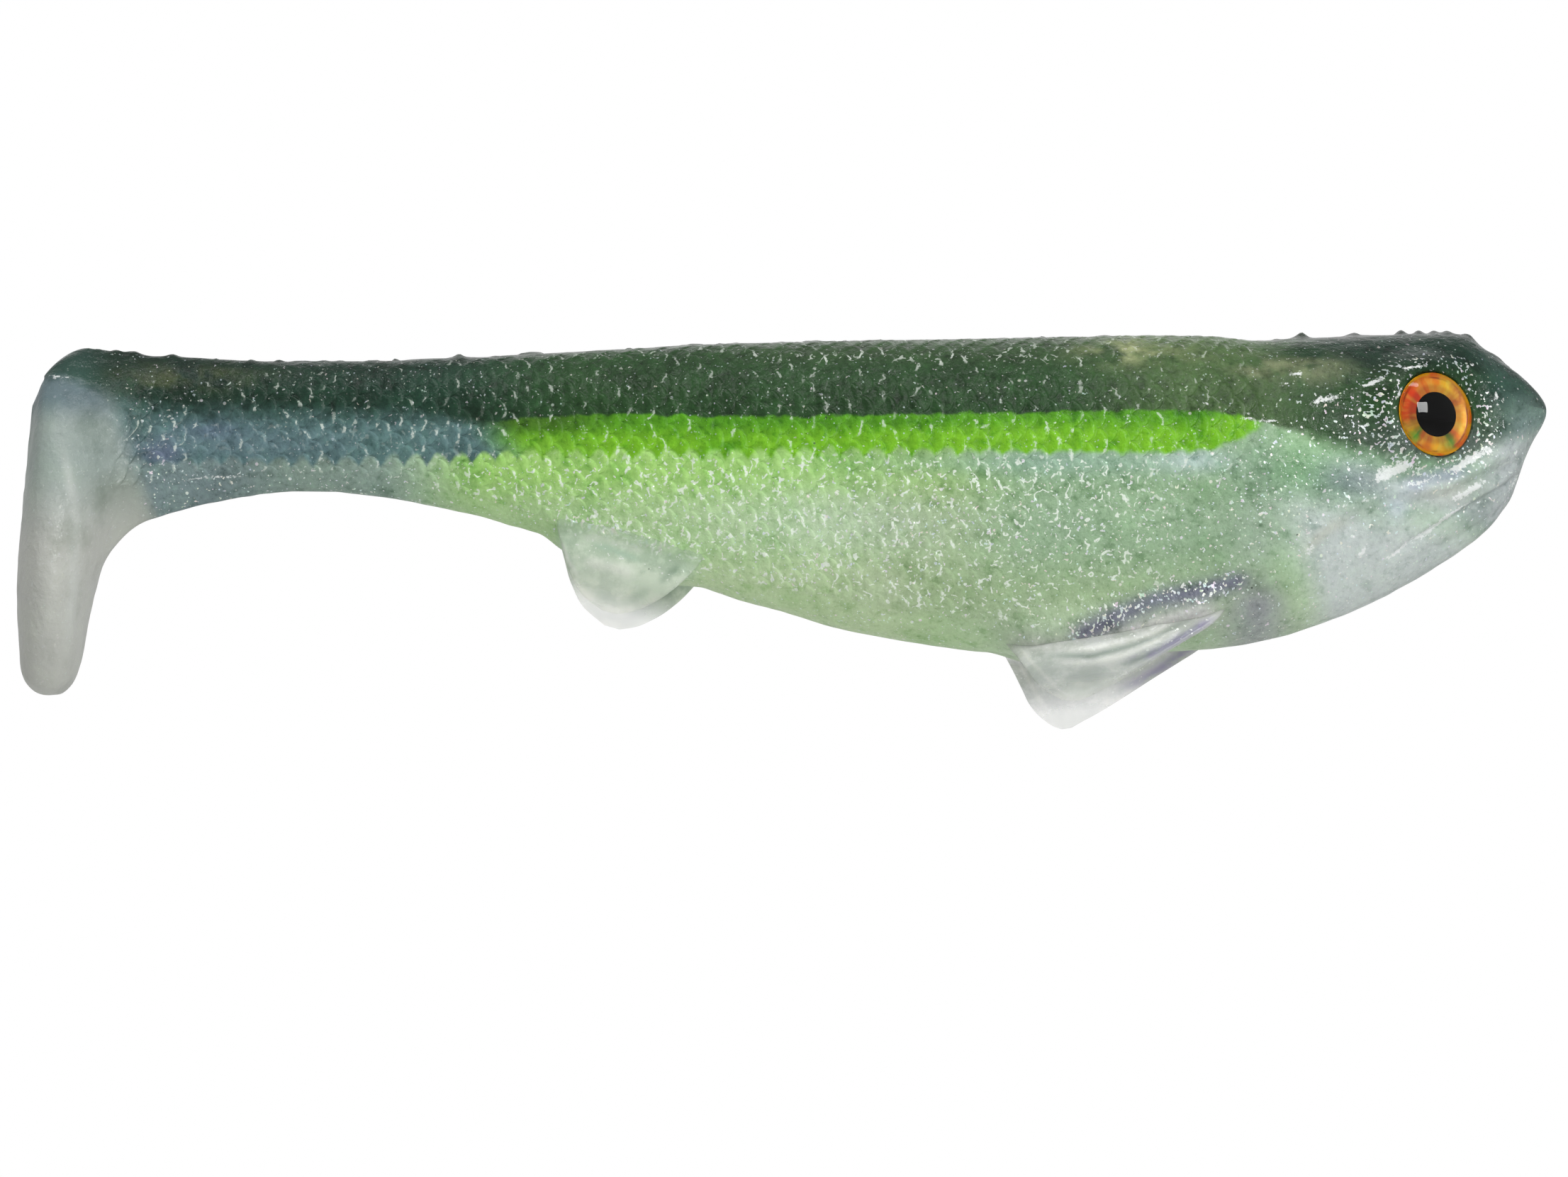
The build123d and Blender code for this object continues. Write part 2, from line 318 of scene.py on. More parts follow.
scale_floor = curve([
    (-128, -6.4), (-117.5, -6.2), (-111, -5.6), (-104, -5.2), (-93, -6.4), (-84, -8.8), (-76, -12),
    (-70, -13.4), (-64, -14.8), (-58, -15.7), (-52, -16.6), (-44.5, -17.4), (-39, -17.2), (-30, -14.6),
    (-24, -12.8)])

scaled = smooth(-22.4, -26.4, X) * smooth(0.9, 2.8, np.abs(Y)) * smooth(-0.3, 0.3, H - scale_floor(X))
scaled *= 1 - smooth(-116.2, -118.6, X - 0.32 * (H + 1))
scaled[ring_x.size + FLARE_RINGS // 2:] = 0
scaled *= 1 - 0.65 * smooth(-56, -38, X) * smooth(-4, -7, H)
scaled *= 1 - 0.35 * smooth(-5, -9, H)
scaled *= 1 - 0.35 * smooth(1, 3, H)

# Staggered rows of round-fronted scales that close up towards the tail.
SCALE_PITCH = 1.9
row_pitch = curve([(-120, 0.95), (-104, 0.95), (-90, 1.05), (-60, 1.25), (-40, 1.3), (-20, 1.3)])
flat = P.reshape(-1, 3)
waver = [value_noise(flat, 2.2, seed).reshape(X.shape) for seed in (11, 12)]
u = X / SCALE_PITCH + 0.09 * waver[0]
v = arc / (2 * row_pitch(X)) + 0.09 * waver[1]


def behind_edge(u, v, stagger):
    """How far each point lies behind the next scale front, as a share of the pitch, in one set of rows."""
    across = v - stagger - np.round(v - stagger)
    front = stagger + 0.5 * np.sqrt(np.clip(1 - 4 * across ** 2, 0, 1))
    return np.mod(front - u, 1)


behind = np.minimum(behind_edge(u, v, 0), behind_edge(u, v, 0.5))
scale_height = 0.10 * smooth(0, 0.14, behind) * (1 - smooth(0.14, 0.62, behind))
lift = scaled * scale_height + 0.10 * scaled - 0.10

# Head: cheek ridge that runs back into the gill cover, jaw folds, mouth line, brow and gill strokes.
head_marks = [
    ([(-1.8, -3.1), (-4.6, -3.9), (-6.9, -5.1), (-9, -6.3), (-11.5, -6.7), (-15.2, -6.8)], 0.55, 0.42),
    ([(-2.6, -4.4), (-5, -5.2), (-7.3, -6.3), (-9.6, -7.4), (-12.6, -7.9)], 0.40, -0.26),
    ([(-14, -6.8), (-17.1, -8), (-19.4, -9.5), (-20.9, -11.2)], 0.75, 0.24),
    ([(-14.2, -8.1), (-17, -9.4), (-19, -11), (-19.9, -13)], 0.60, -0.20),
    ([(-4.9, -5.6), (-7, -6.5), (-8.9, -7.5)], 0.42, 0.26),
    ([(-1.9, -4.3), (-2.4, -5.2), (-3.9, -6.5), (-6.6, -7.9), (-9.5, -9.7), (-12, -11.1), (-14.4, -12.8)],
     0.26, -0.34),
    ([(-1.9, -3.8), (-3.9, -5.7), (-6.4, -7.2), (-9.3, -8.9), (-12, -10.3)], 0.34, 0.20),
    ([(-2.9, -7.4), (-5.2, -9.2), (-8.4, -10.9), (-11.4, -12.5)], 0.32, -0.14),
    ([(-15.2, -9), (-15.9, -10.6), (-16.3, -12.6), (-15.9, -14.2)], 0.33, 0.24),
    ([(-19.8, -9), (-20.5, -10.8), (-21, -13)], 0.33, 0.20),
    ([(-21.2, 0.2), (-17.2, 1.3), (-14.2, 2.2), (-10.4, 3.5), (-7, 3.9)], 0.50, 0.28),
    ([(-23.2, 2.6), (-20.4, 3.2), (-16, 4.2)], 0.40, 0.18),
    ([(-22, -1.9), (-18.5, -3.6), (-14.8, -4.2)], 0.80, -0.22),
    ([(-24.4, -0.4), (-23.4, -6), (-22.6, -11)], 0.50, 0.14),
]
for points, width, height in head_marks:
    lift += height * mark(points, width)
lift -= 0.22 * spot(-4.5, 1.6, 0.32, 0.32)   # a pit ahead of the eye

# Shoulders that the fins grow out of, and the edge of the dark cap on the heel of the tail.
for points, width, height in (([(-47, -19), (-36, -17.5), (-25.5, -15.3)], 1.5, 1.5),
                              ([(-84, -9.6), (-76, -11.9), (-69.4, -13.3)], 1.3, 1)):
    lift += height * mark(points, width, 0.2)
cap_edge = curve([(-128, 2.75), (-125, 2.8), (-122, 2.45), (-120, 2.3)])(X)
lift += 0.16 * smooth(-0.12, 0.12, H - cap_edge) * smooth(-120.8, -122.4, X)

# Back: warts along the mould line, a small step where the hook point comes out, and an uneven skin.
crest = bump(Y, -0.1, 0.9) * (Z > (top_of(X) + bottom_of(X)) / 2)
for place, size, height in ((-20.3, 0.7, 0.42), (-15.9, 0.6, 0.40), (-12, 0.6, 0.30), (-10.6, 0.5, 0.30),
                            (-9.3, 0.45, 0.34), (-8.2, 0.5, 0.36), (-6.4, 0.5, 0.25), (-45.5, 0.9, 0.14),
                            (-90.6, 0.5, 0.25), (-117.8, 0.6, 0.25), (-114.6, 0.5, 0.2)):
    lift += height * crest * bump(X, place, size)
lift += 0.22 * crest * (smooth(-62.2, -61.9, X) - smooth(-61.9, -58, X)) - 0.2 * crest * bump(X, -62.6, 0.45)
uneven = 0.05 * value_noise(flat, 2.4, 1) + 0.03 * value_noise(flat, 0.9, 2)
crumbs = np.clip(value_noise(flat * (1, 0.5, 0.5), 0.75, 3), 0.2, 1) - 0.2
lift += uneven.reshape(X.shape) + 0.35 * crumbs.reshape(X.shape) * crest * (X > -121)
lift *= smooth(0, -1.2, X)

P = P + N * lift[..., None]

# ---------------------------------------------------------------- eye sockets
FOIL_BEHIND_PUPIL = 0.3   # the middle of the foil and lens lies this far behind the pupil's


def eye_frame(side):
    """Centre, outward normal and radius of the foil, from the CAD eye, in millimetres."""
    foil, pad = (np.array([v.co for v in frame["nodes"][f"eye_{part}_{side}"].data.vertices]) / MM
                 for part in ("foil", "pad"))
    centre = (foil.max(axis=0) + foil.min(axis=0)) / 2
    back = (pad.max(axis=0) + pad.min(axis=0)) / 2
    normal = (centre - back) / np.linalg.norm(centre - back)
    rearward = np.array((-abs(normal[1]), normal[0] * np.sign(normal[1]), 0))
    centre = centre + FOIL_BEHIND_PUPIL * rearward
    return centre, normal, (foil[:, 2].max() - foil[:, 2].min()) / 2


def seat_eye(points, side):
    """Presses a flat-floored socket into the skin and draws the skin up to its rim."""
    centre, normal, radius = eye_frame(side)
    rel = points - centre
    depth = rel @ normal
    r = np.linalg.norm(rel - depth[..., None] * normal, axis=-1)
    near = (np.abs(depth) < 6) & (r < 2.4 * radius) & (np.sign(points[..., 1]) == np.sign(centre[1]))
    angle = np.arctan2(rel[..., 2], rel[..., 0])
    lip = 0.50 + 0.06 * np.cos(3 * angle) - 0.30 * smooth(radius + 0.5, radius * 1.7, r)
    inside = 1 - smooth(radius - 0.12, radius + 0.06, r)
    target = lip * (1 - inside) - 0.9 * inside
    share = 1 - smooth(radius + 0.5, radius * 1.8, r)
    move = np.where(near, share * (target - depth), 0)
    return points + normal * move[..., None]


for side in ("right", "left"):
    P = seat_eye(P, side)

# ---------------------------------------------------------------- colours that change softly over the skin
def srgb(r, g, b):
    c = np.array((r, g, b), float) / 255
    return np.where(c <= 0.04045, c / 12.92, ((c + 0.055) / 1.055) ** 2.4)


def layered(base, layers):
    """Paints layers over the base, each an sRGB triple and the share of every point that it covers."""
    for colour, share in layers:
        base = base + (srgb(*colour) - base) * share[..., None]
    return base


violet_band = [(-40.8, -18.3), (-38.5, -17.5), (-36.1, -16.5), (-33, -15.4), (-29.5, -14.75), (-26.5, -14.2),
               (-24.6, -13.9)]

# Belly shot, from the green behind the fins to the pearl throat, the smoky stalk and the clear paddle.
low = layered(np.broadcast_to(srgb(162, 192, 140), P.shape), [
    ((148, 191, 106), smooth(-9, -5, H) * smooth(-24, -30, X) * smooth(-96, -88, X)),
    ((174, 196, 164), bump(H, -9.5, 3) * bump(X, -60, 10) * 0.85),
    ((174, 197, 154), smooth(-11, -14, H) * smooth(-50, -56, X)),
    ((142, 176, 139), smooth(-52, -42, X) * smooth(-18, -10, H) * 0.8),
    ((146, 182, 162), spot(-42, -4.4, 14, 1.2) * 0.55),
    ((184, 210, 196), spot(-30, -4.3, 3.2, 0.9) * 0.8),
    ((164, 186, 154), smooth(-14.5, -18.5, H) * smooth(-56, -42, X)),
    ((148, 156, 152), bump(X, -24.5, 3) * smooth(-12.5, -16.5, H)),
    ((162, 184, 160), spot(-24.5, -10.5, 2.6, 3.6) * 0.6),
    ((182, 190, 188), smooth(-25, -20.5, X + 0.35 * (H + 8)) * smooth(-3, -9, H + 0.25 * (X + 22))),
    ((118, 154, 118), smooth(-29, -23, X) * bump(H, -5, 2.6)),
    ((172, 180, 182), bump(H, -7.4 - 0.25 * (X + 10), 1.6) * smooth(-21, -15, X) * 0.8),
    ((94, 110, 114), spot(-17.2, -6, 3, 1.7) * 0.65),
    ((198, 196, 192), spot(-8.6, -6.6, 3.2, 1.3) * 0.55),
    ((166, 172, 174), smooth(-10, -3, X) * smooth(-12, -8, H)),
    ((140, 144, 172), mark([(-13.6, -6.8), (-11, -5.9), (-8.6, -5.3), (-6.4, -4.4)], 0.7, 0.3) * 0.6),
    ((150, 160, 158), smooth(-4.5, -1, X)),
    ((190, 192, 180), mark([(-21.6, -12.6), (-20.4, -11.2), (-18.8, -9.8), (-16.4, -8.9)], 0.5, 0.4) * 0.5),
    ((134, 154, 144), smooth(-88, -98, X)),
    ((120, 138, 140), smooth(-102, -112, X)),
    ((186, 190, 182), mark([(-46, -19), (-40, -18.9), (-36, -18), (-27, -15.9)], 1.1, 0.15)),
])
under_shoulder = smooth(-64, -50, X) * smooth(-21, -25, X) * smooth(-20, -15, H)
low *= 1 - np.array((0.16, 0.22, 0.11)) * under_shoulder[..., None]
low = layered(low, [
    ((94, 92, 116), mark(violet_band, 0.80, 0.12) * 0.9),
    ((216, 216, 210),
     mark([(-39.9, -18.95), (-32.9, -17.6), (-30.3, -16.8), (-27.3, -15.8)], 0.24, 0.3) * 0.8),
    ((206, 206, 204),
     mark([(-37.5, -17.95), (-33.5, -16.85), (-30.5, -16.1), (-28, -15.4)], 0.2, 0.3) * 0.6),
    ((196, 202, 218), spot(-13.15, -8.1, 1.1, 1.1) * 0.5),
    ((164, 186, 162), mark([(-83, -9.8), (-76, -11.4), (-70, -13.4)], 1, 0.15)),
])
low *= 1 + 0.22 * smooth(-104, -92, X)[..., None]

# Band under the back: chartreuse along the flank, smoky blue along the stalk.
stalk_share = smooth(-85, -90, X + 0.9 * (H + 2))
band = layered(np.broadcast_to(srgb(118, 183, 38), P.shape), [
    ((84, 150, 28), smooth(1, 2.7, H - stripe_edge(X))),
    ((72, 112, 34), smooth(-74, -84, X) * smooth(1.2, 2.6, H - stripe_edge(X)) * 0.9),
    ((122, 178, 60), smooth(-76, -84, X) * smooth(2, 0.6, H - stripe_edge(X)) * 0.6),
    ((92, 122, 124), stalk_share),
    ((100, 124, 132), smooth(-96, -106, X) * bump(H, -2.8, 1.5) * 0.8),
    ((98, 98, 136), spot(-115.2, -3.6, 1.8, 1.2) * 0.55),
    ((96, 104, 138), spot(-111, -1.6, 2.5, 0.8) * 0.4),
    ((56, 78, 74), spot(-117.2, -1.4, 1.6, 2) * 0.6),
])

# Back shot, with patchy gold glitter where it thins.
blotch = 0.62 + 0.9 * value_noise(flat * (0.6, 1, 1), 1, 7) + 0.5 * value_noise(flat, 0.45, 8)
blotch = np.clip(blotch, 0, 1.5).reshape(X.shape)
back = layered(np.broadcast_to(srgb(42, 74, 40), P.shape), [
    ((34, 64, 50), smooth(-80, -94, X)),
    ((62, 84, 54), smooth(3, 5, H) * smooth(-76, -60, X) * smooth(-24, -30, X) * 0.6),
    ((92, 118, 72), smooth(-42, -30, X) * smooth(-18, -26, X) * 0.6),
    ((168, 176, 130), np.minimum(spot(-34.6, 4.8, 3.8, 1) * 0.85 * blotch, 1)),
    ((80, 94, 58), np.minimum(spot(-113, 2.9, 5.2, 1.1) * 0.95 * blotch, 1)),
    ((58, 90, 80), smooth(-119, -122.5, X)),
    ((24, 50, 38), smooth(-27, -16, X) * smooth(2.2, 4.4, H)),
    ((126, 134, 102), np.minimum(spot(-22, 3.3, 4.6, 1.2) * 0.85 * blotch, 1)),
    ((92, 106, 98), smooth(-20, -11, X) * smooth(0.5, -3, H) * smooth(-4.5, -6.5, X)),
    ((50, 78, 68), smooth(-7.5, -4, X) * smooth(-1, 1.5, H)),
    ((122, 144, 140), smooth(-6, -2, X) * smooth(2.4, -1.2, H)),
])
back *= (0.90 - 0.42 * smooth(3.4, 0.8, np.abs(Y)) * (Z > 0))[..., None]

# The paddle is clear, whichever shot runs into it.
clear = np.maximum(1 - smooth(-119.6, -117.4, X + 0.32 * (H + 1.5)), smooth(-9.8, -11.8, Z) * (X < -112))
paddle_streak = [(-123.6, -1), (-122.4, -5), (-121.6, -9), (-121.8, -15), (-122.6, -22)]
clear_layers = [
    ((150, 162, 157), clear),
    ((134, 146, 136), clear * smooth(-121.5, -118.5, X) * smooth(-4, -7, H)),
    ((188, 190, 184), clear * smooth(-4, -12, H)),
    ((104, 122, 127), clear * smooth(-1.6, 1.2, H)),
    ((206, 210, 206), clear * mark(paddle_streak, 0.42, 0.3) * 0.45),
]
low, band = layered(low, clear_layers), layered(band, clear_layers)

# Painted highlights: white strokes where the glossy folds of the head, the edge of the tail's cap and the
# ridge on the stalk catch the light; and where the glitter thickens to grains.
painted_highlight_strokes = [
    ([(-16, -6.3), (-14.4, -5.4), (-13, -4.9), (-11.3, -4.3)], 0.55, 1),
    ([(-13.6, -6.4), (-11.4, -6.1), (-9.4, -5.5)], 0.18, 0.7),
    ([(-10, -5.6), (-8.1, -4.8), (-6.2, -3.7), (-3.9, -2.7)], 0.34, 1),
    ([(-9.2, -7.8), (-7, -6.7), (-5, -5.4)], 0.30, 1),
    ([(-13.2, -11.5), (-10.8, -10.5), (-8.9, -8.9), (-6, -7.1)], 0.27, 1),
    ([(-14.6, -12.8), (-12.9, -11.7), (-11.4, -10.5)], 0.18, 0.9),
    ([(-3.6, -7), (-2.2, -5.2)], 0.16, 0.8),
    ([(-16.7, -12.6), (-15.4, -10.8)], 0.24, 0.8),
    ([(-21.3, -12.6), (-19.7, -10.8)], 0.3, 0.6),
    ([(-19.6, -8.3), (-16, -7.6), (-13.5, -6.8)], 0.2, 0.45),
    ([(-16.5, 1.5), (-14, 2.6)], 0.2, 1),
    ([(-13.9, 3), (-12.1, 3.2), (-10.3, 3.6)], 0.13, 0.8),
    ([(-22.4, 2.75), (-20.4, 2.95)], 0.16, 0.9),
    ([(-23.4, 2.1), (-21.5, 2.1)], 0.12, 0.6),
    ([(-21, 0.3), (-17.5, 1.2)], 0.36, 0.75),
    ([(-13.6, 0.6), (-13.3, 1.8)], 0.2, 0.7),
    ([(-4.75, 0.5), (-4.4, 1.9)], 0.2, 0.8),
    ([(-6, 3.9), (-7.4, 3.6)], 0.1, 0.7),
    ([(-29.5, 0.2), (-28.5, 0.4)], 0.14, 0.8),
    ([(-27.6, -0.5), (-24.4, -1), (-21.8, -1)], 0.16, 0.7),
    ([(-3.6, -4.2), (-2.4, -3)], 0.14, 0.6),
    ([(-125.2, 2.75), (-124, 2.85), (-122.2, 2.5)], 0.13, 0.7),
    ([(-117.6, -6.4), (-112, -5.6), (-105, -5.3)], 0.14, 0.5),
]
painted_highlight_share = np.zeros(X.shape)
for points, width, strength in painted_highlight_strokes:
    painted_highlight_share = np.maximum(painted_highlight_share, strength * mark(points, width, 0.4))
eye_centre = eye_frame("right")[0]
from_eye = np.hypot(X - eye_centre[0], Z - eye_centre[2])
grains = (0.9 * bump(from_eye, 4.8, 1.1) + 0.55 * spot(-15.5, -1.2, 3.5, 2.2)
          + 0.5 * spot(-19, 0.8, 3, 0.9) + 1.1 * mark(violet_band, 0.8, 0.1)
          + 0.9 * mark([(-82, -8.8), (-79.5, -9.2), (-77, -10), (-74.4, -10.9), (-72.2, -12.3)], 0.45, 0.1)
          + 0.4 * bump(X, -115.5, 2.2) * smooth(1.5, -1, H) * smooth(-7, -5, H)
          + 0.35 * spot(-52, -9, 16, 4) + 0.3 * spot(-26, -7, 7, 4))

# How softly the dark back meets the colour below it.
softness = 0.16 + 1.3 * smooth(-86, -96, X) + 0.75 * smooth(-24, -19, X) - 0.85 * smooth(-119, -121.5, X)
# How strongly the painted highlights show: bright strokes on the scale fronts and curls of light on the
# glossy skin.
painted_glints = 0.34 + 0.34 * bump(H, 4.3, 0.6) * smooth(-72, -62, X) * smooth(-34, -42, X)
painted_glints += 0.12 * smooth(0.2, -0.8, H) + 0.36 * smooth(-3, -4.8, H) * smooth(-96, -86, X)
painted_glints += 0.10 * smooth(-86, -92, X) * bump(H, -2, 2.2)
painted_glints *= 1 - 0.5 * smooth(-38, -26, X) * smooth(-3, -6, H)
painted_glints *= smooth(-0.6, 0.3, H - scale_floor(X)) * (1 - clear)

# Values that every point of the skin carries for its material, three to a vector.
zero = np.zeros(X.shape)
skin_values = {
    "rest": (X, Y, Z),
    "lattice": (u, v, zero),
    "edges": (H - back_edge(X), H - stripe_edge(X), softness),
    "zones": (smooth(-23.9, -25.2, X), clear, np.clip(grains, 0, 1)),
    # painted highlight strokes, strength of the painted glints, and where the skin is scaled
    "painted_highlights_and_scales": (painted_highlight_share, painted_glints, scaled),
}
skin_values = {label: np.stack(values, axis=-1) for label, values in skin_values.items()}
skin_values.update(low_colour=low, band_colour=band, back_colour=back)


# ---------------------------------------------------------------- shader tools
def rgba(r, g, b):
    return (*(float(c) for c in srgb(r, g, b)), 1.0)


class Value:
    """An output of a node, which adds, subtracts, multiplies and divides like a number."""

    def __init__(self, nodes, socket):
        self.nodes, self.socket = nodes, socket

    def __add__(self, other):
        return self.nodes.math("ADD", self, other)

    def __sub__(self, other):
        return self.nodes.math("SUBTRACT", self, other)

    def __mul__(self, other):
        return self.nodes.math("MULTIPLY", self, other)

    def __truediv__(self, other):
        return self.nodes.math("DIVIDE", self, other)

    def __abs__(self):
        return self.nodes.math("ABSOLUTE", self)


class Nodes:
    """Short hand for building a material's node tree."""

    def __init__(self, name):
        self.material = bpy.data.materials.new(name)
        self.material.use_nodes = True
        self.tree = self.material.node_tree
        self.tree.nodes.clear()
        self.output = self.tree.nodes.new("ShaderNodeOutputMaterial")

    def make(self, kind, inputs, output=0, **settings):
        """Adds a node, feeds its inputs by name or number, and gives back one of its outputs."""
        node = self.tree.nodes.new("ShaderNode" + kind)
        for key, value in settings.items():
            setattr(node, key, value)
        for key, value in inputs.items():
            if isinstance(value, Value):
                self.tree.links.new(value.socket, node.inputs[key])
            else:
                node.inputs[key].default_value = value
        return Value(self, node.outputs[output])

    def surface(self, kind, **sockets):
        """Ends the material in a shader. An underscore stands for a space in a socket's name."""
        shader = self.make(kind, {name.replace("_", " "): value for name, value in sockets.items()})
        self.tree.links.new(shader.socket, self.output.inputs[0])
        return self.material

    def math(self, operation, *values, clamp=False):
        return self.make("Math", dict(enumerate(values)), operation=operation, use_clamp=clamp)

    def step(self, value, low, high):
        """0 below low, 1 above high, smooth between."""
        inputs = {"Value": value, "From Min": low, "From Max": high}
        return self.make("MapRange", inputs, interpolation_type="SMOOTHSTEP")

    def mix(self, share, a, b, blend="MIX"):
        """Mixes two colours. A plain triple is sRGB from 0 to 255."""
        a, b = (rgba(*c) if isinstance(c, tuple) and len(c) == 3 else c for c in (a, b))
        inputs = {0: share, 6: a, 7: b}
        return self.make("Mix", inputs, 2, data_type="RGBA", blend_type=blend, clamp_factor=True)

    def attribute(self, name):
        return self.make("Attribute", {}, "Vector", attribute_name=name)

    def object_place(self):
        return self.make("TexCoord", {}, "Object")

    def split(self, vector):
        return [self.make("SeparateXYZ", {0: vector}, axis) for axis in range(3)]

    def join(self, x, y, z=0.0):
        return self.make("CombineXYZ", {0: x, 1: y, 2: z})

    def noise(self, vector, scale, detail=2.0, rough=0.5):
        inputs = {"Vector": vector, "Scale": scale, "Detail": detail, "Roughness": rough}
        return self.make("TexNoise", inputs, "Fac")

    def random(self, vector, output="Value"):
        return self.make("TexWhiteNoise", {"Vector": vector}, output, noise_dimensions="3D")

    def bump(self, height, distance, normal=None):
        inputs = {"Height": height, "Distance": distance, "Strength": 1.0}
        if normal:
            inputs["Normal"] = normal
        return self.make("Bump", inputs)


def flakes(n, place, size, share, radius):
    """Mask and random colour of round glitter flakes. size is their spacing in millimetres."""
    middle, distance = (n.make("TexVoronoi", {"Vector": place, "Scale": 1 / size}, output)
                        for output in ("Position", "Distance"))
    chosen = n.math("LESS_THAN", n.random(middle), share)
    return n.step(distance, radius * 1.25 / size, radius * 0.75 / size) * chosen, n.random(middle, "Color")


# ---------------------------------------------------------------- plastisol skin
def scale_rows(n, u, v, stagger):
    """One of the two sets of scale rows: how far behind the next front, place across the scale, and cell."""
    row = v - stagger
    whole = n.math("ROUND", row)
    across = row - whole
    front = n.math("SQRT", n.math("SUBTRACT", 1.0, across * across * 4.0, clamp=True)) * 0.5 + stagger
    ahead = front - u
    return n.math("FRACT", ahead), across, n.join(n.math("FLOOR", ahead), whole, stagger)


def skin_material():
    n = Nodes("plastisol_skin")
    place = n.attribute("rest")
    above_back, above_stripe, soft = n.split(n.attribute("edges"))
    band_zone, clear_zone, grain_zone = n.split(n.attribute("zones"))
    painted_highlight_zone, painted_glints_zone, scaled_zone = n.split(n.attribute("painted_highlights_and_scales"))
    u, v = n.split(n.attribute("lattice"))[:2]

    # ragged colour lines, and arches of the lower colour that reach up between the scales
    ragged = (n.noise(place, 0.9, 3.0) - 0.5) * 0.8
    arch = abs(n.math("SINE", u * math.pi)) * scaled_zone
    arch_depth = n.step(n.split(place)[0], -34.0, -62.0) * 0.70 + 0.15
    is_back = n.step((above_back + ragged) / soft, -1.0, 1.0)
    is_band = n.step(above_stripe + ragged - (arch * arch_depth - 0.4), -0.28, 0.28) * band_zone
    colour = n.mix(is_band, n.attribute("low_colour"), n.attribute("band_colour"))
    colour = n.mix(is_back, colour, n.attribute("back_colour"))

    # cloudy plastic: broad drifts, patches the size of a scale, fine grain
    milky = clear_zone * -0.8 + 1.0

    def calmed(noise):
        return (noise - 0.5) * milky + 0.5

    cloud = n.noise(place, 0.22, 4.0, 0.6)
    patch = calmed(n.noise(place, 0.8, 3.0, 0.6))
    fine = calmed(n.noise(place, 2.4, 4.0, 0.7))
    for noise, start, end, share, tone in (
            (cloud, 0.45, 0.75, 0.30, (205, 214, 196)), (cloud, 0.5, 0.25, 0.50, (60, 76, 60)),
            (patch, 0.50, 0.72, 0.45, (206, 220, 206)), (patch, 0.48, 0.28, 0.55, (52, 74, 56)),
            (fine, 0.50, 0.68, 0.40, (225, 232, 222)), (fine, 0.48, 0.30, 0.45, (50, 62, 52))):
        colour = n.mix(n.step(noise, start, end) * share, colour, tone, "SOFT_LIGHT")

    # scales: painted shade where the next one tucks under it, and painted highlights as bright strokes on
    # some fronts
    rows = [scale_rows(n, u, v, stagger) for stagger in (0, 0.5)]
    behind = n.math("MINIMUM", rows[0][0], rows[1][0])
    painted_tuck_shade = n.step(behind, 0.30, 0.62) * scaled_zone
    flank = n.step(above_stripe, 0.5, -1.5)
    colour = n.mix(painted_tuck_shade * (flank * -0.12 + 0.24), colour, (70, 96, 72), "MULTIPLY")
    colour = n.mix(n.random(rows[0][2]) * scaled_zone * 0.20, colour, (235, 240, 230), "SOFT_LIGHT")
    jitter = (n.noise(place, 2.4) - 0.5) * 0.34
    glint = 0.0
    for distance, across, cell in rows:
        pick, pick_place, pick_size = n.split(n.random(cell, "Color"))
        line = n.step(abs(distance + jitter - 0.10), 0.075, 0.03)
        from_middle = abs(across - (pick_place * 0.5 - 0.25))
        along = n.step(from_middle - (pick_size * 0.16 + 0.08), 0.07, -0.03)
        glint = n.math("MAXIMUM", glint, line * along * n.step(pick, 0.40, 0.75))
    glint = glint * n.step(scaled_zone, 0.1, 0.6) * n.step(n.noise(place, 2.1), 0.40, 0.50)
    # painted highlights: curls of light on the glossy skin, joined to the strokes on the scale fronts
    curl = n.step(abs(n.noise(place, 1.15, 1.0) - 0.5), 0.055, 0.022)
    curl = curl * n.step(n.noise(place, 1.9, 1.0), 0.56, 0.61) * n.step(painted_glints_zone, 0.45, 0.8)
    colour = n.mix(n.math("MAXIMUM", glint, curl) * painted_glints_zone, colour, (234, 242, 232))

    # silver glitter: crumbs of broken foil and round flakes of two sizes; and dark specks
    crumb_gate = flank * -0.025 + 0.70 - grain_zone * 0.12
    crumb = n.step(n.noise(place, 3.4, 1.0) - crumb_gate, 0.0, 0.035)
    fine_flake, fine_random = flakes(n, place, 0.42, 0.14, 0.075)
    big_flake = flakes(n, place, 1.2, 0.22, 0.14)[0]
    flake = n.math("MAXIMUM", n.math("MAXIMUM", fine_flake, big_flake), crumb) * (clear_zone * -0.75 + 1.0)
    specks = flakes(n, place, 1.7, 0.12, 0.10)[0]
    colour = n.mix(specks * 0.7, colour, (44, 58, 46))
    bright = n.math("MAXIMUM", flank, grain_zone) * 0.40 + 0.38
    colour = n.mix(flake * bright, colour, n.mix(0.2, (238, 243, 240), fine_random))

    # painted highlights: white strokes where the glossy folds catch the light, ragged at their edges
    torn = (n.noise(place, 2.6, 4.0, 0.7) - 0.5) * 2.4
    painted_highlight = n.step(painted_highlight_zone + torn, 0.34, 0.70) * n.step(painted_highlight_zone, 0.05, 0.3)
    colour = n.mix(painted_highlight * 0.78, colour, (240, 243, 242))

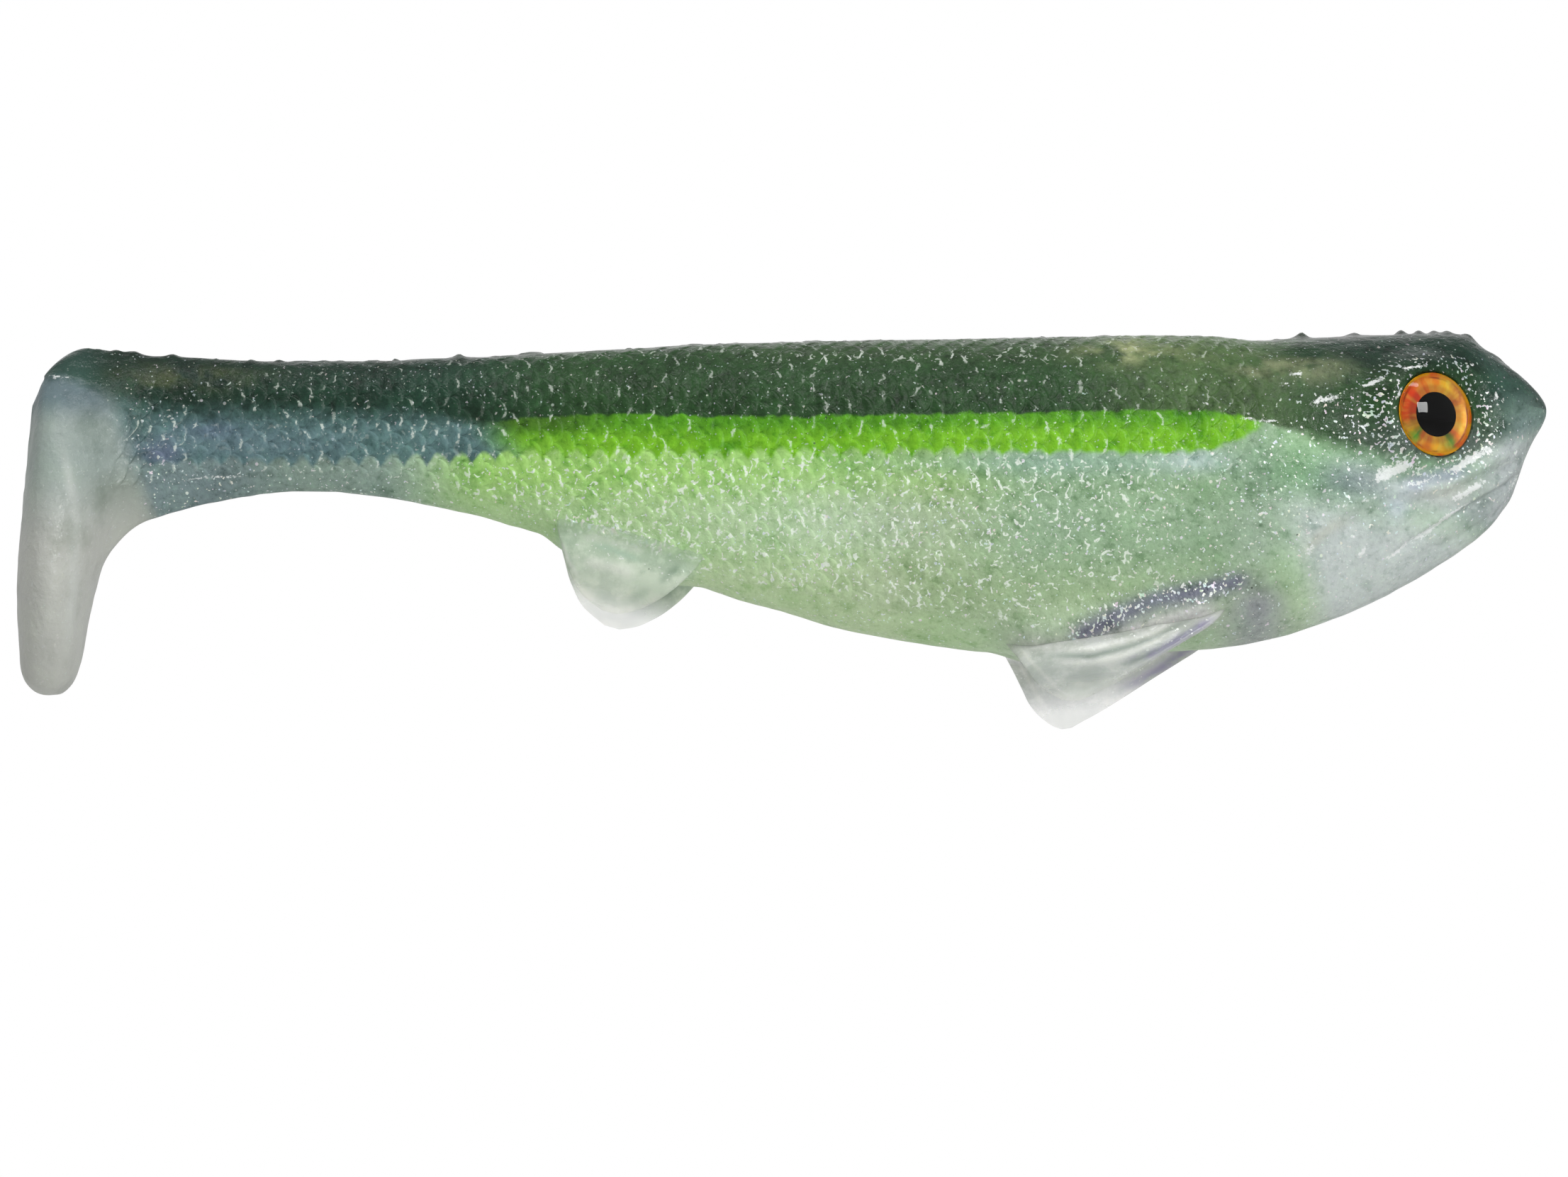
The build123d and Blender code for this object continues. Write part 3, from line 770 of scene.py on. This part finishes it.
    normal = n.bump(n.step(behind, 0.0, 0.12) * n.step(behind, 0.5, 0.2) * scaled_zone, 0.07 * MM)
    normal = n.bump(n.noise(place, 1.3, 3.0, 0.6), 0.16 * MM, normal)
    normal = n.bump(fine, 0.05 * MM, normal)
    return n.surface(
        "BsdfPrincipled", Base_Color=colour, Roughness=n.noise(place, 0.7) * 0.22 + 0.24,
        Metallic=flake * 0.3, Normal=normal, IOR=1.25,
        Subsurface_Weight=0.2, Subsurface_Radius=(1.0, 1.1, 0.8), Subsurface_Scale=0.8 * MM,
        Coat_Weight=0.14, Coat_Roughness=0.07, Coat_Normal=normal)


# ---------------------------------------------------------------- skin pieces
skin = skin_material()
N = grid_normals(P)   # of the lifted skin, with its eye sockets


def skin_piece(name, first, last, close_front=False, close_rear=False):
    """One length of skin, from ring to ring, with the whole skin's normals so that the joins don't show."""
    count = last - first + 1
    pick = slice(first * RING_POINTS, (last + 1) * RING_POINTS)
    verts, normals = P.reshape(-1, 3)[pick], N.reshape(-1, 3)[pick]
    carried = {label: values.reshape(-1, 3)[pick] for label, values in skin_values.items()}
    faces = [tuple(f) for f in grid_faces(count, RING_POINTS)]
    if close_front:
        # a fan from the first ring to its middle
        def with_middle(values):
            return np.concatenate((values, values[:RING_POINTS].mean(axis=0, keepdims=True)))

        faces += [(len(verts), (i + 1) % RING_POINTS, i) for i in range(RING_POINTS)]
        verts, normals = with_middle(verts), with_middle(normals)
        normals[-1] /= np.linalg.norm(normals[-1])
        carried = {label: with_middle(values) for label, values in carried.items()}
    if close_rear:
        # the last ring is a narrow upright slot, closed by stitching its right side to its left
        last_ring = (count - 1) * RING_POINTS
        for i in range(HALF):
            corners = dict.fromkeys((i, i + 1, RING_POINTS - i - 1, (RING_POINTS - i) % RING_POINTS))
            faces.append(tuple(last_ring + corner for corner in corners))
    obj = make_mesh(name, verts, faces, skin)
    for label, values in carried.items():
        put_vector(obj, label, values)
    if len(obj.data.vertices) == len(normals):
        obj.data.normals_split_custom_set_from_vertices(normals.tolist())
    return obj


cut_rear, cut_stalk = (int(np.argmin(np.abs(ring_x - split))) for split in (SPLIT_REAR, SPLIT_STALK))
skin_front = skin_piece("skin_front", 0, cut_rear, close_front=True)
skin_rear = skin_piece("skin_rear", cut_rear, cut_stalk)
skin_tail = skin_piece("skin_tail", cut_stalk, len(P) - 1, close_rear=True)


def bend(piece, centre, reach):
    (centre + reach) * MM
    (centre - reach) * MM
    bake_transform(piece)


bend(skin_front, REAR_FLEX, 7.0)
bend(skin_rear, STALK_FLEX, 6.0)
bend(skin_tail, WRIST, 4.6)
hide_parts("front_back", "front_belly", "stripe_right", "stripe_left")
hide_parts("rear_back", "rear_belly")
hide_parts("stalk_back", "stalk_core", "tail_cap", "paddle")


# ---------------------------------------------------------------- fins
def fin_material(name, root, middle, tip, streak):
    """Clear plastic tinted from the root to the tip, with rays fanning from the front of the root."""
    n = Nodes(name)
    place = n.attribute("rest")
    out, ray, lead = n.split(n.attribute("fin"))
    fold, grit = n.split(n.attribute("folds"))[:2]
    cloud = n.noise(place, 0.45, 4.0, 0.65)
    drift = (cloud - 0.5) * 0.9 + out
    colour = n.mix(n.step(drift, 0.10, 0.45), root, middle)
    colour = n.mix(n.step(drift, 0.62, 0.98), colour, tip)
    colour = n.mix(n.step(cloud, 0.56, 0.40) * 0.30, colour, (140, 160, 150), "MULTIPLY")
    colour = n.mix(fold * 0.5, colour, (150, 172, 162), "MULTIPLY")
    colour = n.mix(ray * (cloud * 0.8 + 0.1), colour, (244, 245, 238))
    colour = n.mix(lead * n.step(cloud, 0.30, 0.55) * 0.85, colour, streak)
    fine = n.noise(place, 2.4, 4.0, 0.7)
    colour = n.mix(n.step(fine, 0.5, 0.7) * 0.35, colour, (228, 232, 226), "SOFT_LIGHT")
    crumb = n.step(grit * 0.14 + n.noise(place, 3.4, 1.0), 0.69, 0.73) * n.step(out, 0.7, 0.3)
    flake = n.math("MAXIMUM", crumb, flakes(n, place, 0.9, 0.16, 0.10)[0])
    specks = flakes(n, place, 1.3, 0.2, 0.09)[0]
    colour = n.mix(specks * 0.6, colour, (70, 78, 66))
    colour = n.mix(flake * 0.75, colour, (240, 244, 240))
    normal = n.bump(n.noise(place, 1.2, 3.0), 0.10 * MM)
    # clearer towards the tip, and just where it leaves the body
    opacity = (n.step(out, 0.85, 0.3) * 0.60 + 0.20) * (n.step(out, 0.02, 0.20) * 0.55 + 0.45)
    return n.surface(
        "BsdfPrincipled", Base_Color=colour, Roughness=0.28, Normal=normal, IOR=1.36, Alpha=opacity,
        Metallic=flake * 0.3,
        Subsurface_Weight=0.25, Subsurface_Radius=(1.0, 1.1, 0.8), Subsurface_Scale=1.0 * MM,
        Coat_Weight=0.3, Coat_Roughness=0.07, Coat_Normal=normal)


def tidy_faces(obj):
    """Merges points that fall together and turns every face outward."""
    shell = bmesh.new()
    shell.from_mesh(obj.data)
    bmesh.ops.remove_doubles(shell, verts=shell.verts, dist=0.004 * MM)
    bmesh.ops.recalc_face_normals(shell, faces=shell.faces)
    shell.to_mesh(obj.data)
    shell.free()


FIN_ROOT_THICK = 1.2
FIN_TIP_THICK = 0.8


def fin_piece(name, body, material, side, root_rear, root_front, tip, trailing, leading, marks):
    """Thin ribbed flap in the plane through its root line and tip, sunk a little into the body's shoulder.

    Its trailing and leading edges are (distance out from the root line, distance forward along it) points.
    """
    reach = leading[-1][0]

    def drawn(kind, points):
        seen = points[..., 2] * math.cos(CAMERA_DROP) + np.abs(points[..., 1]) * math.sin(CAMERA_DROP)
        return np.max([line_mark(points[..., 0], seen, line, width) for line, width in marks[kind]], axis=0)

    sign = 1 if side == "right" else -1
    a, b, c = (np.array(p, float) * (1, sign, 1) for p in (root_rear, root_front, tip))
    along = (b - a) / np.linalg.norm(b - a)
    out = (c - a) - along * ((c - a) @ along)
    out /= np.linalg.norm(out)
    across = np.cross(along, out)
    sunk = leading[0][0]
    rounding = 1 - (1 - np.linspace(0, 1, 21)[1:]) ** 2
    level = np.concatenate((np.linspace(sunk, reach * 0.8, 40), reach * (0.8 + 0.2 * rounding)))
    ends = [curve(trailing)(level)[:, None], curve(leading)(level)[:, None]]
    share = (1 - np.cos(np.linspace(0, math.pi, 64))) / 2
    # A and V: how far each point lies along the root line, and out from it
    A = ends[0] + (ends[1] - ends[0]) * share
    V = np.broadcast_to(level[:, None], A.shape)
    rounded = np.sqrt(np.clip(1 - (2 * share - 1) ** 6, 0, 1) * np.clip((reach - V) / (0.12 * reach), 0, 1))
    thickness = FIN_TIP_THICK + (FIN_ROOT_THICK - FIN_TIP_THICK) * (1 - smooth(sunk, reach * 0.6, V))
    angle = np.arctan2(V + 1.2, ends[1][:1] + 0.8 - A)
    sag = 0.25 * np.sin(angle * 2.5) * smooth(0, reach, V)
    centre = a + A[..., None] * along + V[..., None] * out + sag[..., None] * across
    rib = 0.12 * drawn("rays", centre) - 0.05 * drawn("folds", centre) + 0.03 * np.cos(16 * angle)
    rib *= smooth(0.3, 1.5, V) * smooth(reach, reach * 0.8, V)
    half = ((thickness / 2 + rib) * rounded)[..., None] * across
    verts = np.concatenate(((centre + half).reshape(-1, 3), (centre - half).reshape(-1, 3)))
    rows, cols = A.shape
    size = rows * cols
    quads = [tuple(f) for f in grid_faces(rows, cols, wrap=False)]
    quads += [tuple(i + size for i in f)[::-1] for f in quads]
    border = [r * cols for r in range(rows)] + [(rows - 1) * cols + c for c in range(1, cols)]
    border += [r * cols + cols - 1 for r in range(rows - 2, -1, -1)] + list(range(cols - 2, 0, -1))
    quads += [(i, j, j + size, i + size) for i, j in zip(border, border[1:] + border[:1])]
    obj = make_mesh(name, verts, quads, material)
    put_vector(obj, "rest", verts)
    outward = np.tile(V.ravel() / reach, 2)
    put_vector(obj, "fin", np.stack((outward, drawn("rays", verts), drawn("streak", verts)), axis=-1))
    put_vector(obj, "folds", np.stack((drawn("folds", verts), drawn("grit", verts), 0 * outward), axis=-1))
    tidy_faces(obj)
    hinge = (a + b) / 2
    tuple((hinge + out * 0.2) * MM)
    tuple((hinge + out * 3.2) * MM)
    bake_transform(obj)
    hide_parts(body)


# Lines on the fins, as (X, height as the camera sees it) points, each with its width.
pectoral_marks = {
    "rays": [([(-43, -19.5), (-42, -19.6), (-38.4, -19.7), (-34.7, -18.9), (-33, -18.3), (-30.5, -16.4),
               (-29.3, -15.8), (-27.4, -15.6)], 0.24),
             ([(-42, -20.9), (-38.4, -20.8), (-36, -20.3), (-34.7, -19.8), (-33, -19), (-30.4, -17.6)], 0.22),
             ([(-44.6, -19.2), (-43, -21.1), (-41.4, -22.8), (-40.4, -23.6)], 0.16)],
    "streak": [([(-36.2, -20.9), (-33.8, -20.2), (-31.8, -19.2), (-29.8, -18), (-27.6, -16.7)], 0.34)],
    "folds": [([(-41.6, -22.4), (-39.8, -23.2), (-38, -22.9), (-36.6, -22.2)], 0.75),
              ([(-43.6, -20.2), (-38.4, -20.3), (-33.4, -18.9), (-29, -16.6)], 0.22),
              ([(-36.6, -21.3), (-33, -19.9), (-28.6, -17.2)], 0.2)],
    "grit": [([(-39, -18.6), (-33, -16.6), (-27, -15)], 0.5)],
}
pelvic_marks = {
    "rays": [([(-82, -10.6), (-81.4, -12.4), (-80.4, -14)], 0.2),
             ([(-80.6, -10.2), (-78, -10.6), (-74.6, -11.8)], 0.4),
             ([(-80.4, -12.6), (-78, -12.9), (-75.6, -13.8)], 0.6)],
    "streak": [([(-79.6, -11.1), (-78, -11.5), (-76.6, -12), (-75, -12.6)], 0.28)],
    "folds": [([(-80.4, -14), (-78.8, -15.5), (-77.1, -16), (-75.5, -15.3), (-74, -14.4)], 0.42),
              ([(-81.6, -11.6), (-80.9, -13.4)], 0.3), ([(-74, -14.4), (-72, -12.8)], 0.35)],
    "grit": [([(-81.8, -9), (-79.5, -9.6), (-77, -10.3), (-74.8, -11.1), (-72.2, -12.6)], 0.45),
             ([(-80, -15), (-78.4, -15.6), (-75.4, -15)], 0.3)],
}
pectoral_skin = fin_material("clear_pectoral", root=(204, 208, 200), middle=(210, 214, 210),
                             tip=(250, 250, 240), streak=(132, 124, 160))
pelvic_skin = fin_material("clear_pelvic", root=(196, 214, 190), middle=(208, 220, 202),
                           tip=(238, 240, 224), streak=(170, 196, 176))
for side in ("right", "left"):
    fin_piece(f"pectoral_skin_{side}", f"pectoral_fin_{side}", pectoral_skin, side,
              (-45, -2.6, -20), (-28, -4.7, -17.3), (-39.8, -8.6, -25.5),
              [(-2, -1.2), (0, -0.3), (1.5, 0.35), (3.7, 1.2), (5.6, 1.95), (7.2, 3.1), (8, 4), (8.35, 4.6)],
              [(-2, 18.9), (0, 18.2), (1.2, 17.5), (2.24, 16.4), (3.07, 15), (4.45, 12.6), (6, 9.95),
               (7.1, 7.9), (7.9, 6.2), (8.35, 5.4)], pectoral_marks)
    fin_piece(f"pelvic_skin_{side}", f"pelvic_fin_{side}", pelvic_skin, side,
              (-82, -2.5, -10), (-70.5, -3.5, -13.2), (-77.2, -4, -17.4),
              [(-2, -1.2), (0, -0.4), (2, 0.7), (4, 2), (5.5, 3.6), (6.3, 5.4)],
              [(-2, 12.9), (0, 12.2), (1.1, 11.7), (2.9, 10.7), (4.8, 9.1), (5.8, 7.8), (6.3, 6.7)],
              pelvic_marks)


# ---------------------------------------------------------------- eyes
def foil_material(side):
    """Holographic foil: colours that change round the iris, gold rays, and a red line inside a bright rim."""
    n = Nodes(f"holographic_foil_{side}")
    centre, normal, radius = eye_frame(side)
    # ex and ez: how far forward of the foil's middle and how far above it, in millimetres
    flat_x = np.cross((0, 0, 1), normal) * (1 if side == "right" else -1)
    rel = n.make("VectorMath", {0: n.object_place(), 1: tuple(centre * MM)}, operation="SUBTRACT")
    ex = n.make("VectorMath", {0: rel, 1: tuple(flat_x / MM)}, "Value", operation="DOT_PRODUCT")
    ez = n.split(rel)[2] / MM
    angle = n.math("ARCTAN2", ez, ex)
    radial = n.math("SQRT", ex * ex + ez * ez) / radius
    around = n.make("MapRange", {"Value": angle, "From Min": -math.pi, "From Max": math.pi})
    warp = n.noise(n.join(ex, ez), 0.55, 3.0)
    ramp = n.make("ValToRGB", {0: around + (warp - 0.5) * 0.22})
    stops = [(0, (226, 84, 10)), (0.04, (170, 96, 14)), (0.08, (214, 170, 20)), (0.13, (70, 166, 30)),
             (0.17, (226, 120, 8)), (0.24, (255, 190, 0)), (0.30, (214, 168, 10)), (0.34, (84, 150, 24)),
             (0.40, (240, 120, 0)), (0.47, (255, 196, 10)), (0.54, (255, 170, 0)), (0.60, (214, 118, 10)),
             (0.68, (255, 206, 0)), (0.76, (255, 150, 0)), (0.84, (240, 96, 6)), (0.92, (246, 70, 6)),
             (1, (226, 84, 10))]
    elements = ramp.socket.node.color_ramp.elements
    while len(elements) < len(stops):
        elements.new(0.5)
    for element, (position, colour) in zip(elements, stops):
        element.position = position
        element.color = rgba(*colour)
    ray = n.step(n.noise(n.join(angle * 1.4, radial * 0.6), 2.2, 3.0), 0.45, 0.62)
    colour = n.mix(ray * 0.35, ramp, (255, 226, 90), "SCREEN")
    colour = n.mix(n.step(radial, 0.74, 0.60) * 0.55, colour, (176, 120, 44), "MULTIPLY")
    seam = n.step(radial, 0.80, 0.845) * n.step(radial, 0.885, 0.85)
    colour = n.mix(seam * n.step(warp, 0.40, 0.60), colour, (176, 62, 0))
    rim_colour = n.mix(n.step(warp, 0.42, 0.60), (255, 196, 0), (250, 120, 0))
    colour = n.mix(n.step(radial, 0.87, 0.93), colour, rim_colour)
    return n.surface("BsdfPrincipled", Base_Color=colour, Metallic=0.15, Roughness=0.34,
                     Normal=n.bump(n.noise(n.join(ex, ez), 3.0, 3.0), 0.02 * MM))


def plain_material(name, colour, **sockets):
    n = Nodes(name)
    grain = n.noise(n.object_place(), 4000.0, 3.0)
    darker = tuple(0.7 * c for c in colour[:3]) + (1.0,)
    return n.surface("BsdfPrincipled", Base_Color=n.mix(grain * 0.25, colour, darker),
                     Normal=n.bump(grain, 0.005 * MM), **sockets)


def lens_material():
    n = Nodes("eye_lens")
    faint = n.noise(n.object_place(), 900.0)
    tint = n.mix(faint * 0.2, (1.0, 0.99, 0.95, 1.0), (0.98, 0.95, 0.86, 1.0))
    return n.surface("BsdfPrincipled", Base_Color=tint, Roughness=0.02, IOR=1.33, Transmission_Weight=1.0)


EYE_TURNS = 96


def turned(name, side, profile, material):
    """Solid of revolution about the eye's axis, from (radius, height over the CAD foil's middle) points."""
    centre, normal, _ = eye_frame(side)
    side_x = np.cross((0, 0, 1), normal)
    side_x /= np.linalg.norm(side_x)
    side_z = np.cross(normal, side_x)
    verts = [centre + normal * height + r * (math.cos(t) * side_x + math.sin(t) * side_z)
             for r, height in profile for t in np.arange(EYE_TURNS) * 2 * math.pi / EYE_TURNS]
    obj = make_mesh(name, verts, grid_faces(len(profile), EYE_TURNS), material)
    tidy_faces(obj)
    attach(obj, "body")
    return obj


def dished(level, radius, inset, steps):
    """Profile of a face that lies level out to near the rim, and curls up there round the lens."""
    out = np.linspace(0, radius - inset, steps)
    return list(zip(out, level + 0.39 * smooth(radius - 0.55, radius, out)))


# Heights over the CAD foil's middle. The lens is bonded to the foil: its back lies just under the foil's
# visible face, so no air is left between them.
LENS_CROWN = 1.6
LENS_EDGE = 0.46
FOIL_FACE = 0.05
LENS_BACK = -0.01
FOIL_THICK = 0.12

own_materials = {"pupil": plain_material("pupil_ink", rgba(2, 2, 3), Roughness=0.8, Specular_IOR_Level=0.0),
                 "pad": plain_material("adhesive_pad", rgba(225, 222, 210), Roughness=0.6)}
lens = lens_material()
for side in ("right", "left"):
    for part, material in own_materials.items():
        data = frame["nodes"][f"eye_{part}_{side}"].data
        data.materials.clear()
        data.materials.append(material)
    radius = eye_frame(side)[2]
    face = dished(FOIL_FACE, radius, 0.02, 40)
    dish = face + [(r, z - FOIL_THICK) for r, z in face[::-1]]
    foil = turned(f"eye_foil_skin_{side}", side, dish, foil_material(side))
    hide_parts(f"eye_foil_{side}")
    sphere = (radius ** 2 + (LENS_CROWN - LENS_EDGE) ** 2) / (2 * (LENS_CROWN - LENS_EDGE))
    limit = math.asin((radius - 0.03) / sphere)
    front = [(sphere * math.sin(t), LENS_CROWN - sphere * (1 - math.cos(t)))
             for t in np.linspace(limit, 0, 30)]
    dome = turned(f"eye_lens_{side}", side, dished(LENS_BACK, radius, 0.08, 30) + front, lens)
    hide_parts(f"eye_dome_{side}")


# ---------------------------------------------------------------- floor, light, camera
# Places and sizes are in metres from here on.
FLOOR_LEVEL = -0.17
BODY_MIDDLE = Vector((-0.0636, 0, -0.006))


def flat_square(name, size, place, material, turn=0.0):
    bpy.ops.mesh.primitive_plane_add(size=size, location=place, rotation=(turn, 0, 0))
    plane = bpy.context.object
    plane.name = name
    plane.data.materials.append(material)
    return plane


pale = Nodes("pale_floor").surface("BsdfPrincipled", Base_Color=(0.82, 0.82, 0.81, 1.0), Roughness=0.6)
floor = flat_square("floor", 30, (0, 0, FLOOR_LEVEL), pale)
white = Nodes("backdrop_white").surface("Emission", Color=(1, 1, 1, 1), Strength=1.0)
backdrop = flat_square("backdrop", 8, (0, 2.5, 0.4), white, math.pi / 2)
# white behind the picture only; it lights nothing
backdrop.visible_diffuse = backdrop.visible_glossy = backdrop.visible_transmission = False

world = bpy.data.worlds.new("studio")
bpy.context.scene.world = world
world.use_nodes = True
background = world.node_tree.nodes["Background"]
background.inputs[0].default_value = (1, 1, 1, 1)
background.inputs[1].default_value = 0.5


def softbox(name, place, size, power):
    light = bpy.data.lights.new(name, "AREA")
    light.shape = "RECTANGLE"
    light.size, light.size_y = size
    light.energy = power
    obj = bpy.data.objects.new(name, light)
    obj.location = place
    obj.rotation_euler = (BODY_MIDDLE - Vector(place)).to_track_quat("-Z", "Y").to_euler()
    bpy.context.scene.collection.objects.link(obj)


softbox("key", (0.16, -0.41, 0.13), (0.13, 0.13), 0.9)
softbox("top", (-0.08, -0.26, 0.40), (0.40, 0.06), 0.8)
softbox("fill", (-0.05, 0.35, 0.25), (0.4, 0.3), 0.3)

CAMERA_DISTANCE = 0.5
PICTURE_WIDTH = 0.13007
SENSOR_WIDTH = 36
AIM = Vector((-0.06356, 0, -0.01499))
camera = bpy.data.cameras.new("camera")
camera.sensor_width = SENSOR_WIDTH
camera.lens = SENSOR_WIDTH * CAMERA_DISTANCE / PICTURE_WIDTH
camera.clip_start, camera.clip_end = 0.01, 100
camera_object = bpy.data.objects.new("camera", camera)
looking = Vector((0, math.cos(CAMERA_DROP), math.sin(CAMERA_DROP)))
camera_object.location = AIM - looking * CAMERA_DISTANCE
camera_object.rotation_euler = looking.to_track_quat("-Z", "Y").to_euler()
bpy.context.scene.collection.objects.link(camera_object)
bpy.context.scene.camera = camera_object
bpy.context.scene.view_settings.view_transform = "Standard"
